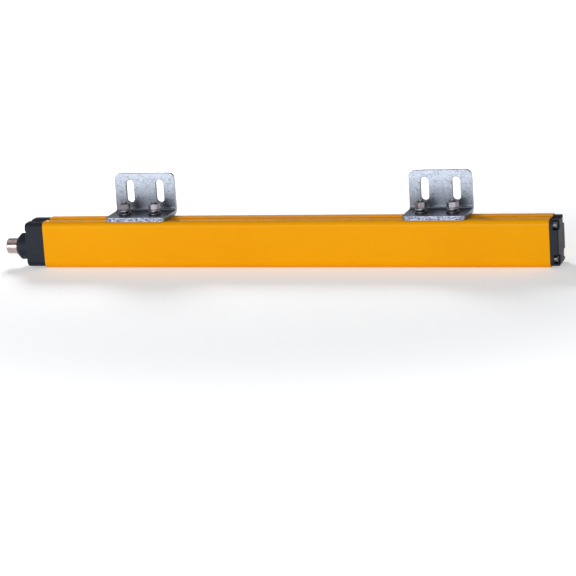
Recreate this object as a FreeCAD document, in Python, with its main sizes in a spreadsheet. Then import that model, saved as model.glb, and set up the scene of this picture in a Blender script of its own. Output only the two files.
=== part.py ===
import FreeCAD, Part
import math
import os
from types import SimpleNamespace

import Sketcher

# Safety light curtain bar: a painted aluminium extrusion with a dark window along its front, black
# moulded end caps, a round cable connector at one end, and two angle brackets bolted to the T-slot
# along its back.
#
# Frame, in millimetres: +X along the bar from the connector to the blind end, +Z from the window
# to the T-slot, so the window faces down; the origin is the middle of the window's outer face.

Vector = FreeCAD.Vector
Rotation = FreeCAD.Rotation

os.makedirs("parts", exist_ok=True)
document = FreeCAD.newDocument("LightCurtain")

# Driving dimensions: word, millimetres (or degrees, or a count), what it is.
DIMENSIONS = (
    ("profile_length", 490.0, "painted extrusion, end to end"),
    ("profile_width", 35.0, "across the window face"),
    ("profile_height", 45.0, "window face to T-slot face"),
    ("wall", 1.8, "extrusion wall"),
    ("window_corner", 6.2, "outer long corners on the window side"),
    ("slot_corner", 5.0, "outer long corners on the T-slot side"),
    ("slot_neck", 8.2, "T-slot mouth"),
    ("slot_lip", 2.4, "thickness of the T-slot's lips"),
    ("channel_width", 15.0, "T-slot channel"),
    ("channel_depth", 6.0, "T-slot channel under the lips"),
    ("window_width", 21.8, "visible width of the window"),
    ("window_play", 0.1, "gap at each side of the window in the lips"),
    ("window_flange", 2.5, "window edge held behind each lip"),
    ("flange_thickness", 1.6, "thickness of the window's edge"),
    ("seal_thickness", 0.8, "rubber strip under the window's edge"),
    ("groove_play", 0.2, "play of the window in its groove"),
    ("retainer_reach", 1.6, "how far the ribs above the window reach in"),
    ("retainer_thickness", 1.2, "ribs above the window"),
    ("board_level", 24.0, "underside of the beam boards"),
    ("board_thickness", 1.6, "circuit boards"),
    ("board_play", 0.1, "play of a board in its groove"),
    ("ledge_reach", 2.0, "ledges that hold the boards"),
    ("ledge_thickness", 1.5, "ledges that hold the boards"),
    ("port_side", 4.6, "screw port from the side face"),
    ("port_low", 8.2, "screw port above the window face"),
    ("port_high", 5.4, "screw port below the T-slot face"),
    ("port_radius", 3.2, "round boss of a screw port"),
    ("port_play", 0.1, "cap screw in its port, on the diameter"),
    ("cap_inset_side", 0.5, "caps inside the side faces"),
    ("cap_inset_low", 1.2, "caps inside the window face"),
    ("cap_inset_high", 1.0, "caps inside the T-slot face"),
    ("cap_corner_low", 6.0, "cap's long corners on the window side"),
    ("cap_corner_high", 4.4, "cap's long corners on the T-slot side"),
    ("cap_edge", 1.4, "rounding round the caps' end faces"),
    ("gasket_thickness", 0.8, "gasket between cap and extrusion"),
    ("connector_cap_length", 18.0, "connector cap without its boss"),
    ("end_cap_length", 7.4, "blind cap"),
    ("cap_core", 3.0, "thickness of the caps' end walls"),
    ("cavity_play", 0.1, "hollow in the caps beside the round nut"),
    ("cap_cavity_low", 6.2, "hollow in the caps, lowest"),
    ("cap_cavity_high", 33.0, "hollow in the caps, highest"),
    ("spigot_length", 3.0, "rim of the caps inside the extrusion"),
    ("spigot_play", 0.4, "rim of the caps inside the extrusion, all round"),
    ("band_depth", 1.0, "shallow band across the caps in line with the T-slot"),
    ("step_height", 7.6, "stepped edge of the connector cap, T-slot side"),
    ("step_depth", 0.3, "set-back of the stepped edge"),
    ("step_groove", 2.0, "groove under the stepped edge, width"),
    ("step_groove_depth", 1.3, "groove under the stepped edge, depth"),
    ("recess_play", 0.2, "room round the screw heads in the connector cap"),
    ("recess_depth", 5.0, "screw recesses in the connector cap"),
    ("pocket_play", 0.9, "room round the screw heads in the blind cap"),
    ("pocket_flange", 2.6, "flange left under the blind cap's screws"),
    ("screw_hole_play", 0.4, "cap screws in the caps' holes, on the diameter"),
    ("screw_shank", 3.9, "cap screws"),
    ("screw_grip", 10.5, "cap screws inside the extrusion"),
    ("screw_head", 6.6, "cap screw head diameter"),
    ("screw_head_height", 3.4, "cap screw head height"),
    ("screw_socket", 3.0, "hexagon socket across flats"),
    ("screw_socket_depth", 1.8, "hexagon socket depth"),
    ("connector_level", 18.5, "connector axis above the window face"),
    ("boss_radius", 12.7, "round boss on the connector cap"),
    ("boss_length", 13.1, "round boss on the connector cap"),
    ("boss_chamfer", 3.6, "bevel at the boss's end"),
    ("sleeve_diameter", 15.0, "metal sleeve outside the boss"),
    ("sleeve_length", 11.5, "metal sleeve outside the boss"),
    ("sleeve_edge", 0.8, "bevel at the sleeve's mouth"),
    ("sleeve_bore", 12.0, "sleeve bore at the mouth"),
    ("sleeve_bore_depth", 9.0, "sleeve bore at the mouth"),
    ("collar_margin", 0.0, "sleeve collar beyond the O-ring, all round"),
    ("collar_thickness", 1.6, "sleeve collar sunk in the boss"),
    ("ring_section", 1.2, "O-ring section"),
    ("neck_diameter", 14.0, "sleeve inside the boss"),
    ("neck_tail", 5.0, "sleeve behind the cap's end wall"),
    ("socket_play", 0.1, "radial play of the sleeve in the boss"),
    ("insert_diameter", 10.4, "insulator behind the mouth"),
    ("insert_nose", 8.4, "insulator in the mouth"),
    ("insert_recess", 2.0, "insulator behind the sleeve's mouth"),
    ("insert_tail", 1.5, "insulator behind the sleeve's tail"),
    ("contact_circle", 2.6, "contacts from the connector axis"),
    ("contact_diameter", 1.5, "contacts"),
    ("contact_bore", 0.9, "contact sockets"),
    ("contact_tail", 2.0, "contacts behind their board"),
    ("nut_ring_wall", 1.5, "wall of the round nut inside the cap"),
    ("nut_ring_thickness", 2.5, "round nut inside the cap"),
    ("socket_board_side", 13.0, "square board behind the connector"),
    ("ribbon_width", 8.0, "flat ribbon"),
    ("ribbon_thickness", 0.4, "flat ribbon"),
    ("end_margin", 2.0, "boards kept clear of the extrusion's ends"),
    ("control_length", 38.0, "control board"),
    ("module_gap", 1.0, "between boards"),
    ("beams_per_module", 10.0, "beams in a module"),
    ("carrier_play", 1.5, "aperture carriers beside the low screw ports"),
    ("carrier_level", 9.6, "underside of the carriers"),
    ("aperture", 8.0, "apertures in the carriers"),
    ("lens_thickness", 2.8, "lens bars"),
    ("lens_radius", 3.7, "half width of a lens"),
    ("lens_rise", 1.1, "crown of a lens"),
    ("diode_diameter", 4.8, "optical diodes"),
    ("diode_height", 3.2, "optical diodes"),
    ("link_length", 9.0, "plug links between boards"),
    ("link_width", 6.0, "plug links between boards"),
    ("link_height", 3.0, "plug links between boards"),
    ("lamp_diameter", 3.0, "status lamps"),
    ("lamp_height", 6.0, "status lamps"),
    ("chip_height", 1.4, "chips on the control board"),
    ("spring_thickness", 0.4, "earth spring"),
    ("bracket_width", 60.0, "angle bracket along the bar"),
    ("bracket_foot", 40.0, "leg that lies on the bar"),
    ("bracket_wing", 40.0, "leg that stands up"),
    ("bracket_thickness", 4.0, "bracket sheet"),
    ("bend_radius", 2.6, "inside of the bend"),
    ("wing_corner", 5.5, "corners of the standing leg"),
    ("foot_corner", 5.0, "corners of the lying leg"),
    ("foot_overhang", 0.5, "foot's front edge behind the bar's front face"),
    ("slot_width", 8.0, "long slots in the standing leg"),
    ("slot_length", 22.0, "long slots in the standing leg"),
    ("slot_level", 22.5, "slot centres above the T-slot face"),
    ("slot_pitch", 30.0, "between slots, and between bolts"),
    ("bracket_inset_left", 93.8, "left bracket from the extrusion's end"),
    ("bracket_inset_right", 106.6, "right bracket from the extrusion's end"),
    ("bolt_hole_play", 0.6, "bolts in the foot's holes, on the diameter"),
    ("bolt_diameter", 6.0, "bolt thread"),
    ("bolt_end", 2.5, "bolt beyond its nut"),
    ("bolt_tip", 0.9, "bevel at the bolt's tip"),
    ("head_length", 13.6, "T-head across the channel"),
    ("head_play", 0.4, "T-head in the T-slot's mouth, side to side"),
    ("head_height", 4.0, "T-head"),
    ("washer_diameter", 12.0, "flat washer"),
    ("washer_play", 0.4, "flat washer on its bolt, on the diameter"),
    ("washer_thickness", 1.6, "flat washer"),
    ("spring_outer", 11.2, "spring washer"),
    ("spring_play", 0.2, "spring washer on its bolt, on the diameter"),
    ("spring_section", 1.6, "spring washer"),
    ("spring_rise", 2.0, "spring washer, rise over its turn"),
    ("nut_flats", 10.0, "nut across flats"),
    ("nut_thickness", 5.2, "nut"),
    ("nut_play", 0.1, "nut on its bolt, on the diameter"),
    ("nut_bevel", 0.35, "height of the nut's bevels"),
)

sheet = document.addObject("Spreadsheet::Sheet", "Sizes")
for row, (word, number, note) in enumerate(DIMENSIONS, start=1):
    sheet.set(f"A{row}", note)
    sheet.set(f"B{row}", f"{number:g}")
    sheet.setAlias(f"B{row}", word)
document.recompute()


class Size:
    """A number together with the sheet expression that gives it."""

    def __init__(self, text, value):
        self.text = text
        self.value = value

    def __add__(self, other):
        other = as_size(other)
        return Size(f"({self.text} + {other.text})", self.value + other.value)

    def __radd__(self, other):
        return as_size(other) + self

    def __sub__(self, other):
        other = as_size(other)
        return Size(f"({self.text} - {other.text})", self.value - other.value)

    def __rsub__(self, other):
        return as_size(other) - self

    def __mul__(self, other):
        other = as_size(other)
        return Size(f"({self.text} * {other.text})", self.value * other.value)

    def __rmul__(self, other):
        return as_size(other) * self

    def __truediv__(self, other):
        other = as_size(other)
        return Size(f"({self.text} / {other.text})", self.value / other.value)

    def __neg__(self):
        return Size(f"(0 - {self.text})", -self.value)


def as_size(number):
    if isinstance(number, Size):
        return number
    return Size(f"({number:.12g})", float(number))


size = SimpleNamespace(**{word: Size(f"Sizes.{word}", number) for word, number, note in DIMENSIONS})

X_AXIS = Vector(1, 0, 0)
Y_AXIS = Vector(0, 1, 0)
Z_AXIS = Vector(0, 0, 1)
NO_TURN = Rotation()
Z_TO_MINUS_X = Rotation(Y_AXIS, -90)
Z_TO_PLUS_X = Rotation(Y_AXIS, 90)
HEXAGON_REACH = 1 / math.sqrt(3)
TOLERANCE = 0.01


# ---------------------------------------------------------------- sketching helpers

def new_body(label, at=(0, 0, 0), turn=NO_TURN):
    body = document.addObject("PartDesign::Body", label)
    body.Label = label
    place(body, at, turn)
    return body


def place(item, at, turn=NO_TURN):
    """Put an object at a point whose coordinates follow the sheet."""
    at = [as_size(number) for number in at]
    item.Placement = FreeCAD.Placement(Vector(*(number.value for number in at)), turn)
    for axis, number in zip("xyz", at):
        item.setExpression(f"Placement.Base.{axis}", number.text)


def new_sketch(body, role, offset=0):
    """A sketch on one of the body's own origin planes, moved along the plane's normal."""
    sketch = body.newObject("Sketcher::SketchObject", f"{body.Label}_sketch")
    plane = next(item for item in body.Origin.OriginFeatures if item.Role == role)
    sketch.AttachmentSupport = [(plane, "")]
    sketch.MapMode = "FlatFace"
    sketch.setExpression("AttachmentOffset.Base.z", as_size(offset).text)
    return sketch


def bind(sketch, kind, *where, number):
    number = as_size(number)
    index = sketch.addConstraint(Sketcher.Constraint(kind, *where, number.value))
    sketch.setExpression(f"Constraints[{index}]", number.text)


def pin_point(sketch, curve, end, across, along):
    """Fix a point of a curve by its two coordinates in the sketch."""
    bind(sketch, "DistanceX", -1, 1, curve, end, number=across)
    bind(sketch, "DistanceY", -1, 1, curve, end, number=along)


def draw_outline(sketch, points):
    """A closed outline of straight lines through the points."""
    points = [(as_size(across), as_size(along)) for across, along in points]
    flat = [Vector(across.value, along.value, 0) for across, along in points]
    following = flat[1:] + flat[:1]
    curves = [sketch.addGeometry(Part.LineSegment(a, b), False) for a, b in zip(flat, following)]
    for curve, after in zip(curves, curves[1:] + curves[:1]):
        sketch.addConstraint(Sketcher.Constraint("Coincident", curve, 2, after, 1))
    for curve, (across, along) in zip(curves, points):
        pin_point(sketch, curve, 1, across, along)


def draw_rectangle(sketch, left, right, low, high):
    draw_outline(sketch, [(left, low), (right, low), (right, high), (left, high)])


def draw_circle(sketch, across, along, radius):
    centre = Vector(as_size(across).value, as_size(along).value, 0)
    curve = sketch.addGeometry(Part.Circle(centre, Z_AXIS, as_size(radius).value), False)
    pin_point(sketch, curve, 3, across, along)
    bind(sketch, "Radius", curve, number=radius)


def draw_upright_slot(sketch, across, along, width, length):
    """A slot with round ends that runs along the sketch's vertical direction."""
    radius = width / 2
    reach = length / 2 - radius
    top = Vector(across.value, (along + reach).value, 0)
    bottom = Vector(across.value, (along - reach).value, 0)
    side = Vector(radius.value, 0, 0)
    upper = sketch.addGeometry(
        Part.ArcOfCircle(Part.Circle(top, Z_AXIS, radius.value), 0, math.pi), False)
    lower = sketch.addGeometry(
        Part.ArcOfCircle(Part.Circle(bottom, Z_AXIS, radius.value), math.pi, 2 * math.pi), False)
    left = sketch.addGeometry(Part.LineSegment(top - side, bottom - side), False)
    right = sketch.addGeometry(Part.LineSegment(bottom + side, top + side), False)
    for first, first_end, second, second_end in (
            (upper, 2, left, 1), (left, 2, lower, 1), (lower, 2, right, 1), (right, 2, upper, 1)):
        sketch.addConstraint(
            Sketcher.Constraint("Tangent", first, first_end, second, second_end))
    pin_point(sketch, upper, 3, across, along + reach)
    pin_point(sketch, lower, 3, across, along - reach)
    bind(sketch, "Radius", upper, number=radius)


def draw_open_pocket(sketch, side, across, level, radius):
    """A pocket, round at its inner end, that runs out through the side face."""
    turn = side * math.pi / 2
    inner = sketch.addGeometry(Part.ArcOfCircle(
        Part.Circle(Vector(across.value, level.value, 0), Z_AXIS, radius.value), turn, turn + math.pi),
        False)
    beyond = side * half_width
    corners = [(across, level - side * radius), (beyond, level - side * radius),
               (beyond, level + side * radius), (across, level + side * radius)]
    flat = [Vector(y.value, z.value, 0) for y, z in corners]
    out, edge, home = [sketch.addGeometry(Part.LineSegment(a, b), False)
                       for a, b in zip(flat, flat[1:])]
    sketch.addConstraint(Sketcher.Constraint("Tangent", inner, 2, out, 1))
    sketch.addConstraint(Sketcher.Constraint("Coincident", out, 2, edge, 1))
    sketch.addConstraint(Sketcher.Constraint("Coincident", edge, 2, home, 1))
    sketch.addConstraint(Sketcher.Constraint("Tangent", home, 2, inner, 1))
    pin_point(sketch, inner, 3, across, level)
    bind(sketch, "Radius", inner, number=radius)
    pin_point(sketch, edge, 1, *corners[1])
    pin_point(sketch, edge, 2, *corners[2])


def hexagon(flats):
    """Corners of a hexagon, as shares of its width across flats."""
    reach = flats * HEXAGON_REACH
    return [(reach * math.cos(math.radians(60 * k)), reach * math.sin(math.radians(60 * k)))
            for k in range(6)]


# ---------------------------------------------------------------- feature helpers

def pad(body, sketch, length, reverse=False):
    feature = body.newObject("PartDesign::Pad", f"{body.Label}_pad")
    feature.Profile = sketch
    feature.setExpression("Length", as_size(length).text)
    feature.Reversed = reverse
    document.recompute()
    return feature


def centred_pad(body, sketch, length):
    feature = body.newObject("PartDesign::Pad", f"{body.Label}_pad")
    feature.Profile = sketch
    feature.SideType = "Symmetric"
    feature.setExpression("Length", as_size(length).text)
    document.recompute()
    return feature


def checked_cut(body, feature, before):
    """A cut that points away from the solid removes nothing, so the volume has to fall."""
    document.recompute()
    if not body.Shape.Volume < before - TOLERANCE:
        raise RuntimeError(f"{body.Label}: {feature.Name} cuts nothing")
    return feature


def pocket(body, sketch, depth, reverse=False):
    before = body.Shape.Volume
    feature = body.newObject("PartDesign::Pocket", f"{body.Label}_pocket")
    feature.Profile = sketch
    feature.setExpression("Length", as_size(depth).text)
    feature.Reversed = reverse
    return checked_cut(body, feature, before)


def through_pocket(body, sketch):
    before = body.Shape.Volume
    feature = body.newObject("PartDesign::Pocket", f"{body.Label}_pocket")
    feature.Profile = sketch
    feature.SideType = "Symmetric"
    feature.Type = "ThroughAll"
    return checked_cut(body, feature, before)


def revolve(body, sketch, axis):
    feature = body.newObject("PartDesign::Revolution", f"{body.Label}_turning")
    feature.Profile = sketch
    feature.ReferenceAxis = (sketch, [axis])
    feature.Angle = 360
    document.recompute()
    return feature


def groove(body, sketch, axis):
    before = body.Shape.Volume
    feature = body.newObject("PartDesign::Groove", f"{body.Label}_groove")
    feature.Profile = sketch
    feature.ReferenceAxis = (sketch, [axis])
    feature.Angle = 360
    return checked_cut(body, feature, before)


def row_pattern(body, original, sketch, pitch, count):
    """Repeat a feature along the sketch's horizontal direction."""
    feature = body.newObject("PartDesign::LinearPattern", f"{body.Label}_row")
    feature.Originals = [original]
    feature.Direction = (sketch, ["H_Axis"])
    feature.Mode = "Spacing"
    feature.setExpression("Offset", pitch.text)
    feature.setExpression("Occurrences", count.text)
    body.Tip = feature
    document.recompute()
    return feature


def edges_where(body, wanted):
    edges = body.Tip.Shape.Edges
    return [f"Edge{number}" for number, edge in enumerate(edges, start=1) if wanted(edge)]


def dress_edges(body, kind, prop, amount, wanted):
    """Round or bevel the edges of the body's last feature that a test picks out."""
    base = body.Tip
    names = edges_where(body, wanted)
    if not names:
        raise RuntimeError(f"{body.Label}: no edge found for {kind}")
    feature = body.newObject(f"PartDesign::{kind}", f"{body.Label}_{kind.lower()}")
    feature.Base = (base, names)
    feature.setExpression(prop, as_size(amount).text)
    document.recompute()
    return feature


def fillet(body, radius, wanted):
    return dress_edges(body, "Fillet", "Radius", radius, wanted)


def chamfer(body, amount, wanted):
    return dress_edges(body, "Chamfer", "Size", amount, wanted)


def is_near(number, target):
    return abs(number - as_size(target).value) < TOLERANCE


def runs_along(edge, axis):
    """True for a straight edge parallel to the axis."""
    if not isinstance(edge.Curve, Part.Line):
        return False
    return abs(abs(edge.tangentAt(edge.FirstParameter).dot(axis)) - 1) < TOLERANCE


def is_circle(edge, radius, x=None, z=None):
    if not isinstance(edge.Curve, Part.Circle) or not is_near(edge.Curve.Radius, radius):
        return False
    centre = edge.Curve.Center
    return (x is None or is_near(centre.x, x)) and (z is None or is_near(centre.z, z))


def compound(label, items):
    group = document.addObject("Part::Compound", label)
    group.Label = label
    group.Links = items
    return group


def box(label, length, width, height, at):
    item = document.addObject("Part::Box", label)
    item.Label = label
    item.setExpression("Length", as_size(length).text)
    item.setExpression("Width", as_size(width).text)
    item.setExpression("Height", as_size(height).text)
    place(item, at)
    return item


def cylinder(label, radius, height, at, turn=NO_TURN):
    item = document.addObject("Part::Cylinder", label)
    item.Label = label
    item.setExpression("Radius", as_size(radius).text)
    item.setExpression("Height", as_size(height).text)
    place(item, at, turn)
    return item


def cut(label, base, tool):
    item = document.addObject("Part::Cut", label)
    item.Label = label
    item.Base = base
    item.Tool = tool
    return item


# ---------------------------------------------------------------- places that several pieces share

half_length = size.profile_length / 2
half_width = size.profile_width / 2
inner_half = half_width - size.wall
window_half = size.window_width / 2
lip_half = window_half + size.window_play
flange_half = window_half + size.window_flange
groove_half = flange_half + size.groove_play
groove_low = size.wall
seat_level = groove_low + size.seal_thickness
window_top = seat_level + size.flange_thickness
groove_high = window_top + size.groove_play / 2
retainer_top = groove_high + size.retainer_thickness
retainer_half = groove_half - size.retainer_reach
ledge_half = inner_half - size.ledge_reach
board_top = size.board_level + size.board_thickness
board_slot_top = board_top + size.board_play
ledge_low = size.board_level - size.ledge_thickness
ledge_high = board_slot_top + size.ledge_thickness
slot_face = size.profile_height
channel_top = slot_face - size.slot_lip
channel_floor = channel_top - size.channel_depth
channel_half = size.channel_width / 2
port_across = half_width - size.port_side
port_high_level = slot_face - size.port_high
port_bore = size.screw_shank + size.port_play
screw_hole = size.screw_shank + size.screw_hole_play
carrier_half = port_across - size.port_radius - size.carrier_play
ports = [(side * port_across, level) for side in (-1, 1) for level in (size.port_low, port_high_level)]

left_end = -half_length
right_end = half_length
left_cap_plane = left_end - size.gasket_thickness
right_cap_plane = right_end + size.gasket_thickness
left_cap_face = left_cap_plane - size.connector_cap_length
right_cap_face = right_cap_plane + size.end_cap_length
cap_half = half_width - size.cap_inset_side
cap_low = size.cap_inset_low
cap_high = slot_face - size.cap_inset_high
spigot_half = ledge_half - size.spigot_play
spigot_low = size.port_low + size.port_radius + size.spigot_play
spigot_high = ledge_low - size.spigot_play

boss_face = left_cap_face - size.boss_length
collar_radius = size.neck_diameter / 2 + size.ring_section + size.collar_margin
nut_ring_radius = size.neck_diameter / 2 + size.nut_ring_wall
cavity_half = nut_ring_radius + size.cavity_play
sleeve_mouth = boss_face - size.sleeve_length
end_wall_inside = left_cap_face + size.cap_core
sleeve_tail = end_wall_inside + size.neck_tail
insert_front = sleeve_mouth + size.insert_recess
insert_back = sleeve_tail + size.insert_tail
socket_board_front = insert_back
socket_board_back = socket_board_front + size.board_thickness

head_width = size.slot_neck - size.head_play
foot_front = -half_width + size.foot_overhang
wing_back = foot_front + size.bracket_foot
wing_front = wing_back - size.bracket_thickness
foot_top = slot_face + size.bracket_thickness
wing_top = slot_face + size.bracket_wing
bracket_middles = (left_end + size.bracket_inset_left, right_end - size.bracket_inset_right)
bolt_places = [middle + side * size.slot_pitch / 2 for middle in bracket_middles for side in (-1, 1)]
washer_top = foot_top + size.washer_thickness
spring_top = washer_top + size.spring_section + size.spring_rise
nut_top = spring_top + size.nut_thickness
bolt_top = nut_top + size.bolt_end

control_start = left_end + size.end_margin
modules_start = control_start + size.control_length + size.module_gap
MODULE_COUNT = 3
module_step = (right_end - size.end_margin + size.module_gap - modules_start) / MODULE_COUNT
module_length = module_step - size.module_gap
beam_pitch = module_length / size.beams_per_module
board_half = inner_half - size.board_play


# ---------------------------------------------------------------- housing

def make_housing_profile():
    """Extrusion with a window groove below, two board grooves and a T-slot above."""
    body = new_body("housing_profile")

    outline = new_sketch(body, "YZ_Plane")
    draw_rectangle(outline, -half_width, half_width, 0, slot_face)
    centred_pad(body, outline, size.profile_length)
    fillet(body, size.window_corner,
           lambda edge: runs_along(edge, X_AXIS) and is_near(edge.CenterOfMass.z, 0))
    fillet(body, size.slot_corner,
           lambda edge: runs_along(edge, X_AXIS) and is_near(edge.CenterOfMass.z, slot_face))

    steps = (
        (lip_half, 0), (lip_half, groove_low), (groove_half, groove_low), (groove_half, groove_high),
        (retainer_half, groove_high), (retainer_half, retainer_top), (inner_half, retainer_top),
        (inner_half, ledge_low), (ledge_half, ledge_low), (ledge_half, size.board_level),
        (inner_half, size.board_level), (inner_half, board_slot_top),
        (ledge_half, board_slot_top), (ledge_half, ledge_high), (inner_half, ledge_high),
        (inner_half, slot_face - size.slot_corner), (half_width - size.slot_corner, slot_face - size.wall),
    )
    cavity = new_sketch(body, "YZ_Plane")
    draw_outline(cavity, list(steps) + [(-across, level) for across, level in reversed(steps)])
    through_pocket(body, cavity)

    block = new_sketch(body, "YZ_Plane")
    block_half = channel_half + size.wall
    draw_rectangle(block, -block_half, block_half, channel_floor - size.wall,
                   slot_face - size.wall / 2)
    centred_pad(body, block, size.profile_length)

    bosses = new_sketch(body, "YZ_Plane")
    for across, level in ports:
        draw_circle(bosses, across, level, size.port_radius)
    centred_pad(body, bosses, size.profile_length)

    channel = new_sketch(body, "YZ_Plane")
    neck_half = size.slot_neck / 2
    above = slot_face + size.slot_lip
    right_side = [(neck_half, above), (neck_half, channel_top), (channel_half, channel_top),
                  (channel_half, channel_floor)]
    draw_outline(channel, right_side + [(-across, level) for across, level in reversed(right_side)])
    through_pocket(body, channel)

    bores = new_sketch(body, "YZ_Plane")
    for across, level in ports:
        draw_circle(bores, across, level, port_bore / 2)
    through_pocket(body, bores)
    return body


def make_front_window():
    """Window strip: its edges are held behind the extrusion's lips."""
    body = new_body("front_window")
    section = new_sketch(body, "YZ_Plane")
    right_side = [(window_half, 0), (window_half, seat_level), (flange_half, seat_level),
                  (flange_half, window_top)]
    draw_outline(section, right_side + [(-across, level) for across, level in reversed(right_side)])
    centred_pad(body, section, size.profile_length)
    return body


def make_window_seal(label, side):
    body = new_body(label)
    section = new_sketch(body, "YZ_Plane")
    near = side * lip_half
    far = side * flange_half
    draw_rectangle(section, near, far, groove_low, seat_level)
    centred_pad(body, section, size.profile_length)
    return body


# ---------------------------------------------------------------- end caps

def cap_opening(grow):
    """Outline of the caps' hollow and rim, wider above the low screw ports."""
    half = cavity_half
    wide = spigot_half + grow
    right_side = [(half, size.cap_cavity_low), (half, spigot_low - grow), (wide, spigot_low - grow),
                  (wide, spigot_high + grow), (half, spigot_high + grow), (half, size.cap_cavity_high)]
    return right_side + [(-across, level) for across, level in reversed(right_side)]


def make_gasket(label, start):
    """Flat gasket with an opening for the caps' rim and the boards."""
    body = new_body(label)
    outline = new_sketch(body, "YZ_Plane", start)
    draw_rectangle(outline, -cap_half, cap_half, cap_low, cap_high)
    pad(body, outline, size.gasket_thickness)
    round_long_corners(body)
    opening = new_sketch(body, "YZ_Plane", start)
    draw_outline(opening, cap_opening(size.spigot_play / 2))
    through_pocket(body, opening)
    holes = new_sketch(body, "YZ_Plane", start)
    for across, level in ports:
        draw_circle(holes, across, level, screw_hole / 2)
    through_pocket(body, holes)
    return body


def round_long_corners(body):
    fillet(body, size.cap_corner_low,
           lambda edge: runs_along(edge, X_AXIS) and is_near(edge.CenterOfMass.z, cap_low))
    fillet(body, size.cap_corner_high,
           lambda edge: runs_along(edge, X_AXIS) and is_near(edge.CenterOfMass.z, cap_high))


def make_cap_block(label, plane, length, outward):
    """Block of a cap, rounded, with its shallow band, rim, hollow and screw holes."""
    face = plane + outward * length
    toward_minus = outward < 0
    body = new_body(label)
    outline = new_sketch(body, "YZ_Plane", plane)
    draw_rectangle(outline, -cap_half, cap_half, cap_low, cap_high)
    pad(body, outline, length, toward_minus)
    round_long_corners(body)
    fillet(body, size.cap_edge, lambda edge: is_near(edge.BoundBox.XMin, face)
           and is_near(edge.BoundBox.XMax, face))

    band = new_sketch(body, "YZ_Plane", plane)
    draw_rectangle(band, -size.slot_neck / 2, size.slot_neck / 2, cap_high - size.band_depth,
                   cap_high + size.band_depth)
    pocket(body, band, length, not toward_minus)

    rim = new_sketch(body, "YZ_Plane", plane)
    draw_rectangle(rim, -spigot_half, spigot_half, spigot_low, spigot_high)
    pad(body, rim, size.spigot_length, not toward_minus)

    hollow = new_sketch(body, "YZ_Plane", plane - outward * size.spigot_length)
    draw_rectangle(hollow, -cavity_half, cavity_half, size.cap_cavity_low,
                   size.cap_cavity_high)
    pocket(body, hollow, size.spigot_length + length - size.cap_core, not toward_minus)

    holes = new_sketch(body, "YZ_Plane", plane)
    for across, level in ports:
        draw_circle(holes, across, level, screw_hole / 2)
    through_pocket(body, holes)
    return body


def make_connector_cap():
    """Cap with a stepped edge, sunk screws and a bevelled round boss for the connector."""
    body = make_cap_block("connector_cap", left_cap_plane, size.connector_cap_length, -1)
    level = size.connector_level

    step_low = cap_high - size.step_height
    step = new_sketch(body, "YZ_Plane", left_cap_face)
    draw_rectangle(step, -half_width, half_width, step_low, slot_face)
    pocket(body, step, size.step_depth, True)
    gap = new_sketch(body, "YZ_Plane", left_cap_face)
    draw_rectangle(gap, -half_width, half_width, step_low - size.step_groove, step_low)
    pocket(body, gap, size.step_groove_depth, True)

    recesses = new_sketch(body, "YZ_Plane", left_cap_face)
    for across, height in ports:
        draw_circle(recesses, across, height, size.screw_head / 2 + size.recess_play)
    pocket(body, recesses, size.recess_depth, True)

    boss = new_sketch(body, "YZ_Plane", left_cap_face)
    draw_circle(boss, 0, level, size.boss_radius)
    pad(body, boss, size.boss_length, True)
    chamfer(body, size.boss_chamfer, lambda edge: is_circle(edge, size.boss_radius, x=boss_face))

    bore = new_sketch(body, "YZ_Plane", boss_face)
    draw_circle(bore, 0, level, size.neck_diameter / 2 + size.socket_play)
    pocket(body, bore, size.boss_length + size.cap_core, True)
    counterbore = new_sketch(body, "YZ_Plane", boss_face)
    draw_circle(counterbore, 0, level, collar_radius + size.socket_play)
    pocket(body, counterbore, size.collar_thickness + size.ring_section, True)
    return body


def make_end_cap():
    """Blind cap with four screw pockets, open to its sides."""
    body = make_cap_block("end_cap", right_cap_plane, size.end_cap_length, 1)
    pockets = new_sketch(body, "YZ_Plane", right_cap_face)
    for side in (-1, 1):
        for level in (size.port_low, port_high_level):
            draw_open_pocket(pockets, side, side * port_across, level,
                             size.screw_head / 2 + size.pocket_play)
    pocket(body, pockets, size.end_cap_length - size.pocket_flange)
    return body


def make_cap_screw(label, seat, across, level, turn, grip):
    """Cylinder-head screw with a hexagon socket; its local Z points out of the cap."""
    body = new_body(label, (seat, across, level), turn)
    head = new_sketch(body, "XY_Plane")
    draw_circle(head, 0, 0, size.screw_head / 2)
    pad(body, head, size.screw_head_height)
    chamfer(body, size.screw_head_height / 10,
            lambda edge: is_circle(edge, size.screw_head / 2, z=size.screw_head_height))
    shank = new_sketch(body, "XY_Plane")
    draw_circle(shank, 0, 0, size.screw_shank / 2)
    pad(body, shank, grip, True)
    chamfer(body, size.screw_shank / 8, lambda edge: is_circle(edge, size.screw_shank / 2, z=-grip))
    socket = new_sketch(body, "XY_Plane", size.screw_head_height)
    draw_outline(socket, hexagon(size.screw_socket))
    pocket(body, socket, size.screw_socket_depth)
    return body


def make_cap_screws(label, seat, turn, grip):
    return compound(label, [make_cap_screw(f"{label}_{number}", seat, across, level, turn, grip)
                            for number, (across, level) in enumerate(ports, start=1)])


def make_connector_cap_screws():
    seat = left_cap_face + size.recess_depth
    return make_cap_screws("connector_cap_screws", seat, Z_TO_MINUS_X,
                           left_end - seat + size.screw_grip)


def make_end_cap_screws():
    seat = right_cap_plane + size.pocket_flange
    return make_cap_screws("end_cap_screws", seat, Z_TO_PLUS_X, seat - right_end + size.screw_grip)


# ---------------------------------------------------------------- cable connector

def turned_body(label, points):
    """A piece turned about the connector's axis, from points (along X, radius)."""
    body = new_body(label, (0, 0, size.connector_level))
    section = new_sketch(body, "XZ_Plane")
    draw_outline(section, points)
    revolve(body, section, "H_Axis")
    return body


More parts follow.
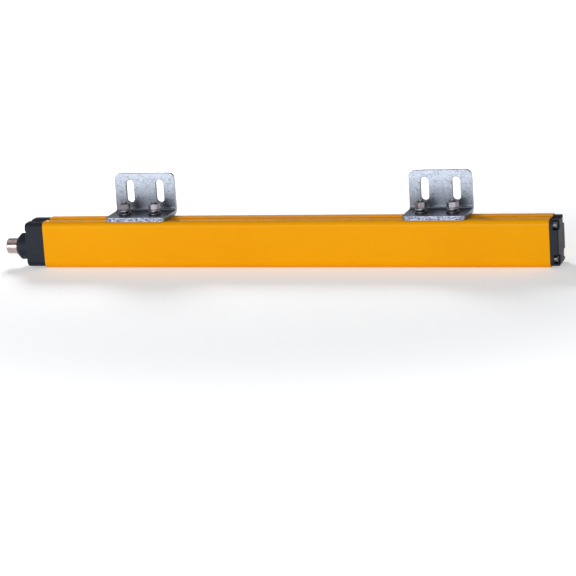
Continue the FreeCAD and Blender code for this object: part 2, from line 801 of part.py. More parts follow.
def make_socket_shell():
    outer = size.sleeve_diameter / 2
    neck = size.neck_diameter / 2
    wide_bore = size.sleeve_bore / 2
    rear_bore = size.insert_diameter / 2 + size.socket_play
    shoulder = sleeve_mouth + size.sleeve_bore_depth
    collar_back = boss_face + size.collar_thickness
    return turned_body("socket_shell", [
        (sleeve_mouth, wide_bore), (sleeve_mouth, outer - size.sleeve_edge),
        (sleeve_mouth + size.sleeve_edge, outer), (boss_face, outer), (boss_face, collar_radius),
        (collar_back, collar_radius), (collar_back, neck), (sleeve_tail, neck), (sleeve_tail, rear_bore),
        (shoulder, rear_bore), (shoulder, wide_bore)])


def make_socket_insert():
    """Insulator with a keyed nose and five contact holes."""
    nose = size.insert_nose / 2
    rear = size.insert_diameter / 2
    step = sleeve_mouth + size.sleeve_bore_depth
    body = turned_body("socket_insert", [
        (insert_front, 0), (insert_front, nose), (step, nose), (step, rear), (insert_back, rear),
        (insert_back, 0)])
    holes = new_sketch(body, "YZ_Plane", insert_front)
    for across, level in contact_places():
        draw_circle(holes, across, level, size.contact_diameter / 2)
    through_pocket(body, holes)
    key = new_sketch(body, "YZ_Plane", insert_front)
    key_half = size.contact_diameter / 2
    draw_rectangle(key, -key_half, key_half, nose - size.contact_diameter / 2, nose + key_half)
    pocket(body, key, size.sleeve_bore_depth - size.insert_recess, True)
    return body


def contact_places():
    around = [(math.cos(math.radians(angle)), math.sin(math.radians(angle)))
              for angle in (0, 90, 180, 270)]
    reach = size.contact_circle
    return [(as_size(0), as_size(0))] + [(reach * across, reach * level) for across, level in around]


def make_socket_contacts():
    contacts = []
    length = socket_board_back + size.contact_tail - insert_front
    bore_depth = size.sleeve_bore_depth - size.insert_recess
    for number, (across, level) in enumerate(contact_places(), start=1):
        at = (insert_front, across, size.connector_level + level)
        rod = cylinder(f"contact_rod_{number}", size.contact_diameter / 2, length, at, Z_TO_PLUS_X)
        bore = cylinder(f"contact_bore_{number}", size.contact_bore / 2, bore_depth, at, Z_TO_PLUS_X)
        contacts.append(cut(f"contact_{number}", rod, bore))
    return compound("socket_contacts", contacts)


def make_socket_ring():
    """O-ring between the sleeve's collar and the floor of the boss's counterbore."""
    body = new_body("socket_ring", (0, 0, size.connector_level))
    section = new_sketch(body, "XZ_Plane")
    radius = size.ring_section / 2
    draw_circle(section, boss_face + size.collar_thickness + radius,
                size.neck_diameter / 2 + radius, radius)
    revolve(body, section, "H_Axis")
    return body


def make_socket_nut():
    """Round nut with two spanner slots, tight against the inside of the end wall."""
    front = end_wall_inside
    back = front + size.nut_ring_thickness
    bore = size.neck_diameter / 2 + size.socket_play / 2
    rim = nut_ring_radius
    body = turned_body("socket_nut", [(front, bore), (front, rim), (back, rim), (back, bore)])
    slots = new_sketch(body, "YZ_Plane", back)
    depth = size.nut_ring_thickness / 2
    draw_rectangle(slots, -rim * 2, rim * 2, -depth, depth)
    pocket(body, slots, depth)
    return body


def make_socket_board():
    body = new_body("socket_board", (0, 0, size.connector_level))
    half = size.socket_board_side / 2
    outline = new_sketch(body, "YZ_Plane", socket_board_front)
    draw_rectangle(outline, -half, half, -half, half)
    pad(body, outline, size.board_thickness)
    holes = new_sketch(body, "YZ_Plane", socket_board_front)
    for across, level in contact_places():
        draw_circle(holes, across, level, size.contact_diameter / 2)
    through_pocket(body, holes)
    return body


def make_ribbon_link():
    """Flat ribbon from the connector's board up and along to the top of the control board."""
    body = new_body("ribbon_link")
    side = new_sketch(body, "XZ_Plane")
    foot = size.connector_level + size.socket_board_side * 0.3
    top = board_top + size.link_height
    near = socket_board_back
    inner = near + size.ribbon_thickness
    end = control_start + size.link_length / 2
    end_inner = end - size.ribbon_thickness
    draw_outline(side, [
        (near, foot), (inner, foot), (inner, top - size.ribbon_thickness),
        (end_inner, top - size.ribbon_thickness), (end_inner, board_top), (end, board_top),
        (end, top), (near, top)])
    centred_pad(body, side, size.ribbon_width)
    return body


# ---------------------------------------------------------------- electronics and optics

def make_board(label, start, length):
    body = new_body(label)
    outline = new_sketch(body, "XY_Plane", size.board_level)
    draw_rectangle(outline, start, start + length, -board_half, board_half)
    pad(body, outline, size.board_thickness)
    return body


def make_control_chips():
    middle = control_start + size.control_length / 2
    side = size.control_length / 4
    small = side / 2
    chips = [
        box("processor", side, side, size.chip_height, (middle, -side / 2, board_top)),
        box("driver_near", small, side, size.chip_height, (middle, -side * 1.3, board_top)),
        box("driver_far", small, small, size.chip_height, (middle, side * 0.8, board_top)),
        box("supervisor", small, small, size.chip_height, (middle + side * 1.2, side * 0.8, board_top)),
    ]
    return compound("control_chips", chips)


def make_status_lamps():
    """Three lamps under the control board that show through the window."""
    middle = control_start + size.control_length / 2
    step = size.lamp_diameter * 2
    lamps = [cylinder(f"status_lamp_{number}", size.lamp_diameter / 2, size.lamp_height,
                      (middle + step * offset, 0, size.board_level - size.lamp_height))
             for number, offset in enumerate((-1, 0, 1), start=1)]
    return compound("status_lamps", lamps)


def make_earth_spring():
    """Bent strip that joins the control board to the extrusion's wall."""
    body = new_body("earth_spring")
    front = control_start + size.control_length / 10
    section = new_sketch(body, "YZ_Plane", front)
    foot = ledge_half - size.ledge_reach
    rise = ledge_high + size.ledge_thickness
    lift = rise + size.spring_thickness
    inner = foot + size.spring_thickness
    draw_outline(section, [
        (foot, board_top), (inner, board_top), (inner, rise), (inner_half, rise), (inner_half, lift),
        (foot, lift)])
    pad(body, section, size.spring_thickness * 10)
    return body


def make_lens_bar(label, start):
    """Clear strip with one crowned lens over each beam."""
    body = new_body(label)
    low = size.carrier_level - size.lens_thickness
    half = carrier_half
    strip = new_sketch(body, "XY_Plane", low)
    draw_rectangle(strip, start, start + module_length, -half, half)
    pad(body, strip, size.lens_thickness)

    first = start + beam_pitch / 2
    root = low + size.lens_thickness / 2
    crown = size.carrier_level + size.lens_rise
    dome = new_sketch(body, "XZ_Plane")
    dome.setExpression("AttachmentOffset.Base.x", first.text)
    draw_outline(dome, [(0, root), (size.lens_radius, root), (size.lens_radius, size.carrier_level),
                        (size.lens_radius * 0.6, crown - size.lens_rise * 0.36), (0, crown)])
    lens = revolve(body, dome, "V_Axis")
    row_pattern(body, lens, strip, beam_pitch, size.beams_per_module)
    return body


def make_optic_carrier(label, start):
    """Black carrier that keeps each lens at its distance from its diode."""
    body = new_body(label)
    half = carrier_half
    block = new_sketch(body, "XY_Plane", size.carrier_level)
    draw_rectangle(block, start, start + module_length, -half, half)
    pad(body, block, size.board_level - size.carrier_level)
    hole = new_sketch(body, "XY_Plane", size.board_level)
    draw_circle(hole, start + beam_pitch / 2, 0, size.aperture / 2)
    first = pocket(body, hole, size.board_level - size.carrier_level)
    row_pattern(body, first, block, beam_pitch, size.beams_per_module)
    return body


def make_beam_diodes(label, start):
    """One optical diode under the beam board for each beam."""
    count = int(size.beams_per_module.value)
    diodes = [cylinder(f"{label}_{beam + 1}", size.diode_diameter / 2, size.diode_height,
                       (start + beam_pitch * (beam + 0.5), 0, size.board_level - size.diode_height))
              for beam in range(count)]
    return compound(label, diodes)


def make_board_link(label, joint):
    """Plug link that bridges the gap between two boards."""
    return box(label, size.link_length, size.link_width, size.link_height,
               (joint - size.link_length / 2, -size.link_width / 2, board_top))


def make_modules():
    pieces = []
    for number in range(1, MODULE_COUNT + 1):
        start = modules_start + module_step * (number - 1)
        pieces.append(make_board(f"beam_board_{number}", start, module_length))
        pieces.append(make_optic_carrier(f"optic_carrier_{number}", start))
        pieces.append(make_lens_bar(f"lens_bar_{number}", start))
        pieces.append(make_beam_diodes(f"beam_diodes_{number}", start))
        pieces.append(make_board_link(f"board_link_{number}", start - size.module_gap / 2))
    return pieces


# ---------------------------------------------------------------- brackets and their fasteners

def make_bracket(label, middle):
    """Angle bracket folded from sheet: its foot lies on the T-slot face, its wing stands up."""
    body = new_body(label)
    section = new_sketch(body, "YZ_Plane", middle)
    draw_outline(section, [
        (foot_front, slot_face), (wing_back, slot_face), (wing_back, wing_top), (wing_front, wing_top),
        (wing_front, foot_top), (foot_front, foot_top)])
    centred_pad(body, section, size.bracket_width)
    fillet(body, size.bend_radius, lambda edge: runs_along(edge, X_AXIS)
           and is_near(edge.CenterOfMass.y, wing_front) and is_near(edge.CenterOfMass.z, foot_top))
    fillet(body, size.bend_radius + size.bracket_thickness, lambda edge: runs_along(edge, X_AXIS)
           and is_near(edge.CenterOfMass.y, wing_back) and is_near(edge.CenterOfMass.z, slot_face))
    fillet(body, size.wing_corner, lambda edge: runs_along(edge, Y_AXIS)
           and is_near(edge.CenterOfMass.z, wing_top))
    fillet(body, size.foot_corner, lambda edge: runs_along(edge, Z_AXIS)
           and is_near(edge.CenterOfMass.y, foot_front))

    slots = new_sketch(body, "XZ_Plane", -wing_front)
    for side in (-1, 1):
        draw_upright_slot(slots, middle + side * size.slot_pitch / 2, slot_face + size.slot_level,
                          size.slot_width, size.slot_length)
    pocket(body, slots, size.bracket_thickness)

    holes = new_sketch(body, "XY_Plane", foot_top)
    for side in (-1, 1):
        draw_circle(holes, middle + side * size.slot_pitch / 2, 0, (size.bolt_diameter + size.bolt_hole_play) / 2)
    pocket(body, holes, size.bracket_thickness)
    return body


def make_bracket_bolt(label, along):
    """T-head bolt: its head bears on the underside of the T-slot's lips."""
    body = new_body(label, (along, 0, channel_top))
    head = new_sketch(body, "XY_Plane")
    draw_rectangle(head, -head_width / 2, head_width / 2, -size.head_length / 2,
                   size.head_length / 2)
    pad(body, head, size.head_height, True)
    fillet(body, head_width / 4, lambda edge: runs_along(edge, Z_AXIS))
    neck = new_sketch(body, "XY_Plane")
    draw_circle(neck, 0, 0, head_width / 2)
    pad(body, neck, size.slot_lip)
    shank = new_sketch(body, "XY_Plane")
    draw_circle(shank, 0, 0, size.bolt_diameter / 2)
    shank_length = bolt_top - channel_top
    pad(body, shank, shank_length)
    chamfer(body, size.bolt_tip,
            lambda edge: is_circle(edge, size.bolt_diameter / 2, z=shank_length))
    return body


def make_flat_washer(label, along):
    body = new_body(label, (along, 0, foot_top))
    ring = new_sketch(body, "XY_Plane")
    draw_circle(ring, 0, 0, size.washer_diameter / 2)
    draw_circle(ring, 0, 0, (size.bolt_diameter + size.washer_play) / 2)
    pad(body, ring, size.washer_thickness)
    chamfer(body, size.washer_thickness / 5,
            lambda edge: is_circle(edge, size.washer_diameter / 2, z=size.washer_thickness))
    return body


def make_spring_washer(label, along):
    """One open turn of square wire, not yet pressed flat."""
    body = new_body(label, (along, 0, washer_top))
    wire = new_sketch(body, "XZ_Plane")
    draw_rectangle(wire, (size.bolt_diameter + size.spring_play) / 2, size.spring_outer / 2, 0,
                   size.spring_section)
    turn = body.newObject("PartDesign::AdditiveHelix", f"{label}_turn")
    turn.Profile = wire
    turn.ReferenceAxis = (wire, ["V_Axis"])
    turn.Mode = "height-turns-angle"
    turn.setExpression("Height", size.spring_rise.text)
    turn.Turns = 0.95
    document.recompute()
    return body


def make_hex_nut(label, along, angle):
    """Hexagon nut, bevelled at both ends."""
    body = new_body(label, (along, 0, spring_top), Rotation(Z_AXIS, angle))
    outline = new_sketch(body, "XY_Plane")
    draw_outline(outline, hexagon(size.nut_flats))
    draw_circle(outline, 0, 0, (size.bolt_diameter + size.nut_play) / 2)
    pad(body, outline, size.nut_thickness)
    reach = size.nut_flats * HEXAGON_REACH
    beyond = reach + size.nut_bevel
    slope = (beyond - size.nut_flats / 2) * math.tan(math.radians(30))
    for level, inward in ((as_size(0), 1), (size.nut_thickness, -1)):
        wedge = new_sketch(body, "XZ_Plane")
        draw_outline(wedge, [(size.nut_flats / 2, level), (beyond, level),
                             (beyond, level + inward * slope)])
        groove(body, wedge, "V_Axis")
    return body


NUT_ANGLES = (32, 14, 20, 8)


def one_at_each_bolt(label, make):
    return compound(label, [make(f"{label}_{number}", along)
                            for number, along in enumerate(bolt_places, start=1)])


def make_hex_nuts():
    return compound("hex_nuts", [make_hex_nut(f"hex_nuts_{number}", along, angle) for number,
                                 (along, angle) in enumerate(zip(bolt_places, NUT_ANGLES), start=1)])


# ---------------------------------------------------------------- the whole bar

pieces = [
    make_housing_profile(),
    make_front_window(),
    make_window_seal("window_seal_near", -1),
    make_window_seal("window_seal_far", 1),
    make_gasket("connector_cap_gasket", left_cap_plane),
    make_gasket("end_cap_gasket", right_end),
    make_connector_cap(),
    make_end_cap(),
    make_socket_shell(),
    make_socket_insert(),
    make_socket_contacts(),
    make_socket_ring(),
    make_socket_nut(),
    make_socket_board(),
    make_ribbon_link(),
    make_board("control_board", control_start, size.control_length),
    make_control_chips(),
    make_status_lamps(),
    make_earth_spring(),
    make_bracket("bracket_left", bracket_middles[0]),
    make_bracket("bracket_right", bracket_middles[1]),
    make_connector_cap_screws(),
    make_end_cap_screws(),
    one_at_each_bolt("bracket_bolts", make_bracket_bolt),
    one_at_each_bolt("flat_washers", make_flat_washer),
    one_at_each_bolt("spring_washers", make_spring_washer),
    make_hex_nuts(),
]
pieces += make_modules()

document.recompute()
for item in document.Objects:
    if "Invalid" in item.State or "Error" in item.State:
        raise RuntimeError(f"{item.Label} failed: {item.State}")
for piece in pieces:
    if piece.Shape.isNull() or not piece.Shape.isValid() or not piece.Shape.Solids:
        raise RuntimeError(f"{piece.Label} has no valid solid")
for piece in pieces:
    piece.Shape.exportStep(f"parts/{piece.Label}.step")
print(len(pieces), "pieces written")
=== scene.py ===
import math

import bmesh
import bpy
from mathutils import Matrix, Vector


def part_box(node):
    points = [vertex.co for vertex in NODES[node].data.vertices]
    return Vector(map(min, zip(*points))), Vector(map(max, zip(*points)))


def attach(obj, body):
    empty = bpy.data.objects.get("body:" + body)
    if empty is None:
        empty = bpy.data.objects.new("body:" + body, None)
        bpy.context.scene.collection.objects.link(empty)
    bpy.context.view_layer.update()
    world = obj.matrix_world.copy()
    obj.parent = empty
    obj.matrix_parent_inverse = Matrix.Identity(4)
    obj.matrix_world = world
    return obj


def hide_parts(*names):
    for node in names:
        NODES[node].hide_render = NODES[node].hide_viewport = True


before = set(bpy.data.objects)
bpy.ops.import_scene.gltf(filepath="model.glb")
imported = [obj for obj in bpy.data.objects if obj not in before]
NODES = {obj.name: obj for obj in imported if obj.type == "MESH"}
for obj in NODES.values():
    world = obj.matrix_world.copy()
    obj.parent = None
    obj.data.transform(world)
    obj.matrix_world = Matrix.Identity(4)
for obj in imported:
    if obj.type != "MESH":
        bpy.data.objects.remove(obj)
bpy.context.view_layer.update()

MM = 0.001


# ---------------------------------------------------------------- material helpers

def srgb(red, green, blue):
    """A colour as it looks on screen, 0 to 255, as the linear value that a shader takes."""
    linear = []
    for level in (red, green, blue):
        share = level / 255
        linear.append(share / 12.92 if share <= 0.04045 else ((share + 0.055) / 1.055) ** 2.4)
    return (*linear, 1.0)


class Recipe:
    """A material under construction: short ways to add and join its nodes."""

    def __init__(self, name):
        self.material = bpy.data.materials.new(name)
        self.material.use_nodes = True
        self.tree = self.material.node_tree
        self.shader = next(n for n in self.tree.nodes if n.type == "BSDF_PRINCIPLED")
        self.place = self.add("ShaderNodeTexCoord").outputs["Object"]

    def add(self, kind, **settings):
        node = self.tree.nodes.new(kind)
        for key, value in settings.items():
            setattr(node, key, value)
        return node

    def join(self, source, target):
        self.tree.links.new(source, target)

    def put(self, **values):
        """Constants on the shader's own sockets."""
        for key, value in values.items():
            self.shader.inputs[key.replace("_", " ")].default_value = value

    def stretched(self, scale):
        node = self.add("ShaderNodeMapping")
        node.inputs["Scale"].default_value = scale
        self.join(self.place, node.inputs["Vector"])
        return node.outputs["Vector"]

    def noise(self, scale, detail=3.0, rough=0.5, vector=None):
        node = self.add("ShaderNodeTexNoise")
        node.inputs["Scale"].default_value = scale
        node.inputs["Detail"].default_value = detail
        node.inputs["Roughness"].default_value = rough
        self.join(vector or self.place, node.inputs["Vector"])
        return node.outputs["Fac"]

    def cells(self, scale, feature="F1", output="Color", vector=None):
        node = self.add("ShaderNodeTexVoronoi", feature=feature)
        node.inputs["Scale"].default_value = scale
        self.join(vector or self.place, node.inputs["Vector"])
        return node.outputs[output]

    def grey(self, colour):
        node = self.add("ShaderNodeSeparateColor")
        self.join(colour, node.inputs["Color"])
        return node.outputs["Red"]

    def span(self, value, low, high, from_low=0.0, from_high=1.0):
        node = self.add("ShaderNodeMapRange")
        for socket, number in (("From Min", from_low), ("From Max", from_high),
                               ("To Min", low), ("To Max", high)):
            node.inputs[socket].default_value = number
        self.join(value, node.inputs["Value"])
        return node.outputs["Result"]

    def mix(self, share, first, second):
        node = self.add("ShaderNodeMix", data_type="RGBA")
        self.join(share, node.inputs["Factor"])
        for socket, colour in ((node.inputs[6], first), (node.inputs[7], second)):
            if isinstance(colour, tuple):
                socket.default_value = colour
            else:
                self.join(colour, socket)
        return node.outputs[2]

    def maths(self, operation, first, second):
        node = self.add("ShaderNodeMath", operation=operation)
        for socket, value in zip(node.inputs, (first, second)):
            if isinstance(value, (int, float)):
                socket.default_value = value
            else:
                self.join(value, socket)
        return node.outputs[0]

    def rounded(self, radius):
        """Normal that turns smoothly over each sharp edge."""
        node = self.add("ShaderNodeBevel", samples=6)
        node.inputs["Radius"].default_value = radius
        return node.outputs["Normal"]

    def edges(self, radius):
        """1 along sharp edges, 0 on flat faces."""
        soft = self.rounded(radius)
        plain = self.add("ShaderNodeNewGeometry").outputs["Normal"]
        dot = self.add("ShaderNodeVectorMath", operation="DOT_PRODUCT")
        self.join(soft, dot.inputs[0])
        self.join(plain, dot.inputs[1])
        return self.span(dot.outputs["Value"], 1.0, 0.0, 0.82, 0.99)

    def sheltered(self, reach):
        """1 deep in a corner, 0 on an open face."""
        node = self.add("ShaderNodeAmbientOcclusion", samples=8)
        node.inputs["Distance"].default_value = reach
        return self.span(node.outputs["AO"], 1.0, 0.0, 0.56, 0.93)

    def bump(self, height, strength, distance, normal=None):
        node = self.add("ShaderNodeBump")
        node.inputs["Strength"].default_value = strength
        node.inputs["Distance"].default_value = distance
        self.join(height, node.inputs["Height"])
        if normal is not None:
            self.join(normal, node.inputs["Normal"])
        return node.outputs["Normal"]

    def finish(self, colour=None, roughness=None, normal=None):
        for value, socket in ((colour, "Base Color"), (roughness, "Roughness"), (normal, "Normal")):
            if value is not None:
                self.join(value, self.shader.inputs[socket])
        return self.material


# ---------------------------------------------------------------- materials

def powder_coat():
    """Orange powder coat: fine orange peel, with sharp edges painted paler in patches, partly wear and
    partly a painted highlight.
    """
    r = Recipe("orange_powder_coat")
    cloud = r.noise(14, 2)
    speck = r.noise(900, 2)
    paint = r.mix(r.span(cloud, 0, 1, 0.35, 0.65), srgb(247, 167, 0), srgb(250, 171, 1))
    paint = r.mix(r.span(speck, 0, 0.35, 0.45, 0.75), paint, srgb(238, 154, 3))
    # Sharp edges turn paler in patches: partly paint wear, partly a painted highlight.
    edge_wear_and_highlight = r.maths("MULTIPLY", r.edges(0.5 * MM), r.span(r.noise(300, 4), 0, 1, 0.45, 0.65))
    colour = r.mix(r.span(edge_wear_and_highlight, 0, 0.5), paint, srgb(250, 190, 70))
    rough = r.maths("ADD", r.span(r.noise(120, 3), 0.24, 0.32), r.span(speck, -0.03, 0.05))
    peel = r.bump(r.noise(650, 2), 0.10, 0.04 * MM, r.rounded(0.35 * MM))
    r.put(Specular_IOR_Level=0.07)
    return r.finish(colour, rough, peel)


def zinc_plate(name, tint=(0.47, 0.52, 0.61), spangle=1150, dark=0.52, shelter=52 * MM, corner_shade=0.2):
    """Bright zinc plating: small crystal grains that differ in shade and tilt."""
    r = Recipe(name)
    warp = r.noise(260, 3)
    grain = r.cells(spangle)
    fine = r.cells(spangle * 2.3)
    shade = r.maths("ADD", r.maths("MULTIPLY", r.grey(grain), 0.55),
                    r.maths("MULTIPLY", r.grey(fine), 0.45))
    shade = r.maths("ADD", shade, r.span(warp, -0.16, 0.16, 0.3, 0.7))
    deep = tuple(level * dark for level in tint)
    colour = r.mix(r.span(shade, 0, 1, 0.1, 0.95), (*deep, 1.0), (*tint, 1.0))
    # Painted shade: the zinc is darkened in corners, near the bend and around the nuts, where shade falls.
    colour = r.mix(r.sheltered(shelter), colour, tuple(level * corner_shade for level in tint) + (1.0,))
    # Painted highlight: sharp edges are lightened towards a pale blue-white.
    colour = r.mix(r.maths("MULTIPLY", r.edges(0.4 * MM), 0.5), colour, (0.86, 0.88, 0.92, 1.0))
    rough = r.maths("ADD", r.span(r.grey(grain), 0.26, 0.42), r.span(warp, -0.05, 0.08, 0.3, 0.7))
    tilt = r.bump(r.grey(grain), 0.12, 0.05 * MM, r.rounded(0.3 * MM))
    tilt = r.bump(r.noise(1500, 2), 0.15, 0.03 * MM, tilt)
    r.put(Metallic=1.0)
    return r.finish(colour, rough, tilt)


def cut_edge():
    """Sheared edge of the plated sheet: dark, torn blotches inside a bright rim, the rim being a painted
    highlight along the edges.
    """
    r = Recipe("zinc_cut_edge")
    torn = r.span(r.noise(420, 4, 0.65, r.stretched((1, 1, 1.6))), 0, 1, 0.42, 0.56)
    fine = r.noise(2400, 2)
    colour = r.mix(torn, (0.05, 0.065, 0.12, 1), (0.31, 0.34, 0.43, 1))
    # Painted highlight: a bright rim along the sharp edges of the cut face.
    colour = r.mix(r.edges(0.9 * MM), colour, (0.74, 0.78, 0.86, 1))
    rough = r.maths("ADD", r.span(torn, 0.55, 0.3), r.span(fine, -0.04, 0.06))
    normal = r.bump(torn, 0.5, 0.12 * MM, r.rounded(0.3 * MM))
    r.put(Metallic=1.0)
    return r.finish(colour, rough, r.bump(fine, 0.2, 0.03 * MM, normal))


def moulded_nylon():
    """Black glass-filled nylon with an eroded mould texture."""
    r = Recipe("black_nylon")
    grain = r.noise(1100, 3, 0.6)
    cloud = r.noise(70, 3)
    colour = r.mix(r.span(grain, 0, 1, 0.35, 0.7), srgb(19, 22, 34), srgb(36, 40, 54))
    # Painted highlight: sharp edges of the caps are lightened.
    colour = r.mix(r.maths("MULTIPLY", r.edges(0.5 * MM), 0.5), colour, srgb(62, 66, 80))
    rough = r.maths("ADD", r.span(cloud, 0.46, 0.6), r.span(grain, -0.06, 0.08))
    normal = r.bump(grain, 0.45, 0.06 * MM, r.rounded(0.4 * MM))
    r.put(Specular_IOR_Level=0.22)
    return r.finish(colour, rough, normal)


def simple(name, first, second, scale, rough, metallic=0.0, bump=0.15, radius=0.15, **extra):
    """Two shades broken up by noise, with uneven roughness, a fine bump and softened edges."""
    r = Recipe(name)
    grain = r.noise(scale, 4)
    colour = r.mix(r.span(grain, 0, 1, 0.35, 0.65), first, second)
    roughness = r.span(r.noise(scale * 0.4, 3), rough[0], rough[1], 0.3, 0.7)
    normal = r.bump(grain, bump, 0.05 * MM, r.rounded(radius * MM))
    r.put(Metallic=metallic, **extra)
    return r.finish(colour, roughness, normal)


ORANGE = powder_coat()
NYLON = moulded_nylon()
ZINC = zinc_plate("zinc_sheet")
# Fasteners get strong painted shade in the narrow gaps between nuts, washers and sheet, and lightened edges
# as a painted highlight.
ZINC_SMALL = zinc_plate("zinc_fastener", (0.31, 0.29, 0.33), 1500, 0.7, 5 * MM, 0.08)
CUT_EDGE = cut_edge()
# Painted shade: the inner walls of the brackets' slots are made dark grey, as shade inside the slots.
SLOT_WALL_SHADE = simple("slot_wall_shade", (0.10, 0.11, 0.13, 1), (0.20, 0.21, 0.24, 1), 900, (0.4, 0.6),
                 metallic=0.7)
RUBBER = simple("black_rubber", srgb(24, 24, 26), srgb(38, 38, 40), 900, (0.7, 0.9))
WINDOW = simple("dark_window", srgb(44, 8, 12), srgb(56, 12, 16), 60, (0.05, 0.12), bump=0.02,
                Coat_Weight=0.6, Coat_Roughness=0.05)
NICKEL = simple("nickel_brass", (0.42, 0.32, 0.32, 1), (0.52, 0.41, 0.41, 1), 500, (0.22, 0.38),
                metallic=1.0, bump=0.1)
GOLD = simple("gold_plate", (0.75, 0.52, 0.2, 1), (0.9, 0.68, 0.32, 1), 700, (0.15, 0.3), metallic=1.0)
BLACK_STEEL = simple("blackened_steel", (0.10, 0.10, 0.11, 1), (0.2, 0.2, 0.22, 1), 700, (0.3, 0.5),
                     metallic=1.0)
INSULATOR = simple("black_insulator", srgb(28, 28, 31), srgb(40, 40, 44), 600, (0.35, 0.5))
BOARD = simple("circuit_board", srgb(10, 70, 38), srgb(16, 88, 48), 300, (0.3, 0.45))
CHIP = simple("chip_black", srgb(26, 26, 28), srgb(36, 36, 38), 900, (0.5, 0.7))
LAMP = simple("lamp_plastic", srgb(60, 140, 70), srgb(90, 180, 100), 200, (0.1, 0.2))
LENS = simple("lens_plastic", srgb(90, 20, 24), srgb(120, 30, 34), 200, (0.04, 0.1))
RIBBON = simple("ribbon_grey", srgb(120, 120, 124), srgb(150, 150, 154), 400, (0.5, 0.7))

FINISHES = {
    "housing_profile": ORANGE,
    "front_window": WINDOW,
    "connector_cap": NYLON,
    "end_cap": NYLON,
    "bracket_left": ZINC,
    "bracket_right": ZINC,
    "bracket_bolts": ZINC_SMALL,
    "flat_washers": ZINC_SMALL,
    "spring_washers": ZINC_SMALL,
    "hex_nuts": ZINC_SMALL,
    "connector_cap_screws": BLACK_STEEL,
    "end_cap_screws": BLACK_STEEL,
    "socket_shell": NICKEL,
    "socket_nut": NICKEL,
    "earth_spring": NICKEL,
    "socket_contacts": GOLD,
    "socket_insert": INSULATOR,
    "ribbon_link": RIBBON,
    "control_chips": CHIP,
    "status_lamps": LAMP,
}
FAMILIES = (("window_seal", RUBBER), ("gasket", RUBBER), ("socket_ring", RUBBER), ("board_link", CHIP),
            ("optic_carrier", CHIP), ("lens_bar", LENS), ("beam_diodes", LAMP), ("board", BOARD))


def finish_for(name):
    if name in FINISHES:
        return FINISHES[name]
    return next(material for part, material in FAMILIES if part in name)


for name, node in NODES.items():
    node.data.materials.clear()
    node.data.materials.append(finish_for(name))


# ---------------------------------------------------------------- detail pieces

def mesh_object(name, vertices, faces, material, smooth=False):
    mesh = bpy.data.meshes.new(name)
    mesh.from_pydata(vertices, [], faces)
    mesh.materials.append(material)
    for polygon in mesh.polygons:
        polygon.use_smooth = smooth
    item = bpy.data.objects.new(name, mesh)
    bpy.context.scene.collection.objects.link(item)
    return item


def stands_for(piece, node):
    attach(piece, "root")
    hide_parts(node)


def softened(name, node, width, materials, pick=None):
    """A copy of a CAD piece whose sharp edges are really rounded."""
    source = bmesh.new()
    source.from_mesh(NODES[node].data)
    bmesh.ops.remove_doubles(source, verts=source.verts, dist=2e-6)
    bmesh.ops.dissolve_limit(source, angle_limit=math.radians(1.0), verts=source.verts,
                             edges=source.edges)
    rough_mesh = bpy.data.meshes.new(f"{name}_rough")
    source.to_mesh(rough_mesh)
    source.free()
    item = bpy.data.objects.new(name, rough_mesh)
    bpy.context.scene.collection.objects.link(item)
    bevel = item.modifiers.new("round", "BEVEL")
    bevel.width = width
    bevel.segments = 2
    bevel.limit_method = "ANGLE"
    bevel.angle_limit = math.radians(30)
    bevel.use_clamp_overlap = True
    graph = bpy.context.evaluated_depsgraph_get()
    mesh = bpy.data.meshes.new_from_object(item.evaluated_get(graph))
    item.modifiers.clear()
    tidy = bmesh.new()
    tidy.from_mesh(mesh)
    bmesh.ops.dissolve_degenerate(tidy, dist=1e-6, edges=tidy.edges)
    bmesh.ops.triangulate(tidy, faces=[face for face in tidy.faces if len(face.verts) > 4])
    tidy.to_mesh(mesh)
    tidy.free()
    item.data = mesh
    mesh.materials.clear()
    for material in materials:
        mesh.materials.append(material)
    for polygon in mesh.polygons:
        polygon.use_smooth = False
        polygon.material_index = pick(polygon) if pick else 0
    stands_for(item, node)
    return item


def ring_of(radius, x, y, z, count, axis):
    """Points of a circle, or of a ring whose radius changes with the angle."""
    points = []
    for step in range(count):
        turn = 2 * math.pi * step / count
        reach = radius(turn) if callable(radius) else radius
        across, along = reach * math.cos(turn), reach * math.sin(turn)
        points.append((x + across, y + along, z) if axis == "z" else (x, y + across, z + along))
    return points


def thread(crest, root, pitch, level):
    """Radius of a V thread at a level along its axis, as a function of the angle."""
    def radius(turn):
        share = (level / pitch - turn / (2 * math.pi)) % 1
        ramp = abs(2 * share - 1)
        return root + (crest - root) * min(1, max(0, 1.25 * ramp - 0.1))
    return radius


def skin(rows, count, closed, faces, offset):
    """Quads between rings of points; a closed skin joins the last ring to the first."""
    for row in range(len(rows) if closed else len(rows) - 1):
        here, there = offset + row * count, offset + (row + 1) % len(rows) * count
        for step in range(count):
            after = (step + 1) % count
            faces.append((here + step, here + after, there + after, there + step))


SIDES = ("left", "right")
BRACKET_MATERIALS = (ZINC, CUT_EDGE, SLOT_WALL_SHADE)
BRACKET_MIDDLES = [sum(corner[0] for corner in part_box(f"bracket_{side}")) / 2 for side in SIDES]
BOLT_FROM_MIDDLE = 15 * MM
BOLT_RADIUS, THREAD_DEPTH, BOLT_PITCH = 3.0 * MM, 0.55 * MM, 1.0 * MM
BOLT_TIP, AROUND_BOLT, BOLT_ROWS_PER_TURN = 0.9 * MM, 28, 7
HEAD_SOFT = 0.3 * MM
HEAD_HALF_X, HEAD_HALF_Y, HEAD_HIGH, LIP = 3.9 * MM, 6.8 * MM, 4.0 * MM, 2.4 * MM


def head_ring(x, z, shrink=0.0):
    """Outline of the T-head: a rectangle with quarter-round corners."""
    corner = HEAD_HALF_X / 2
    points = []
    for k in range(AROUND_BOLT):
        turn = 2 * math.pi * (k + 0.5) / AROUND_BOLT
        side_x, side_y = math.copysign(1, math.cos(turn)), math.copysign(1, math.sin(turn))
        points.append((x + side_x * (HEAD_HALF_X - corner) + (corner - shrink) * math.cos(turn),
                       side_y * (HEAD_HALF_Y - corner) + (corner - shrink) * math.sin(turn), z))
    return points


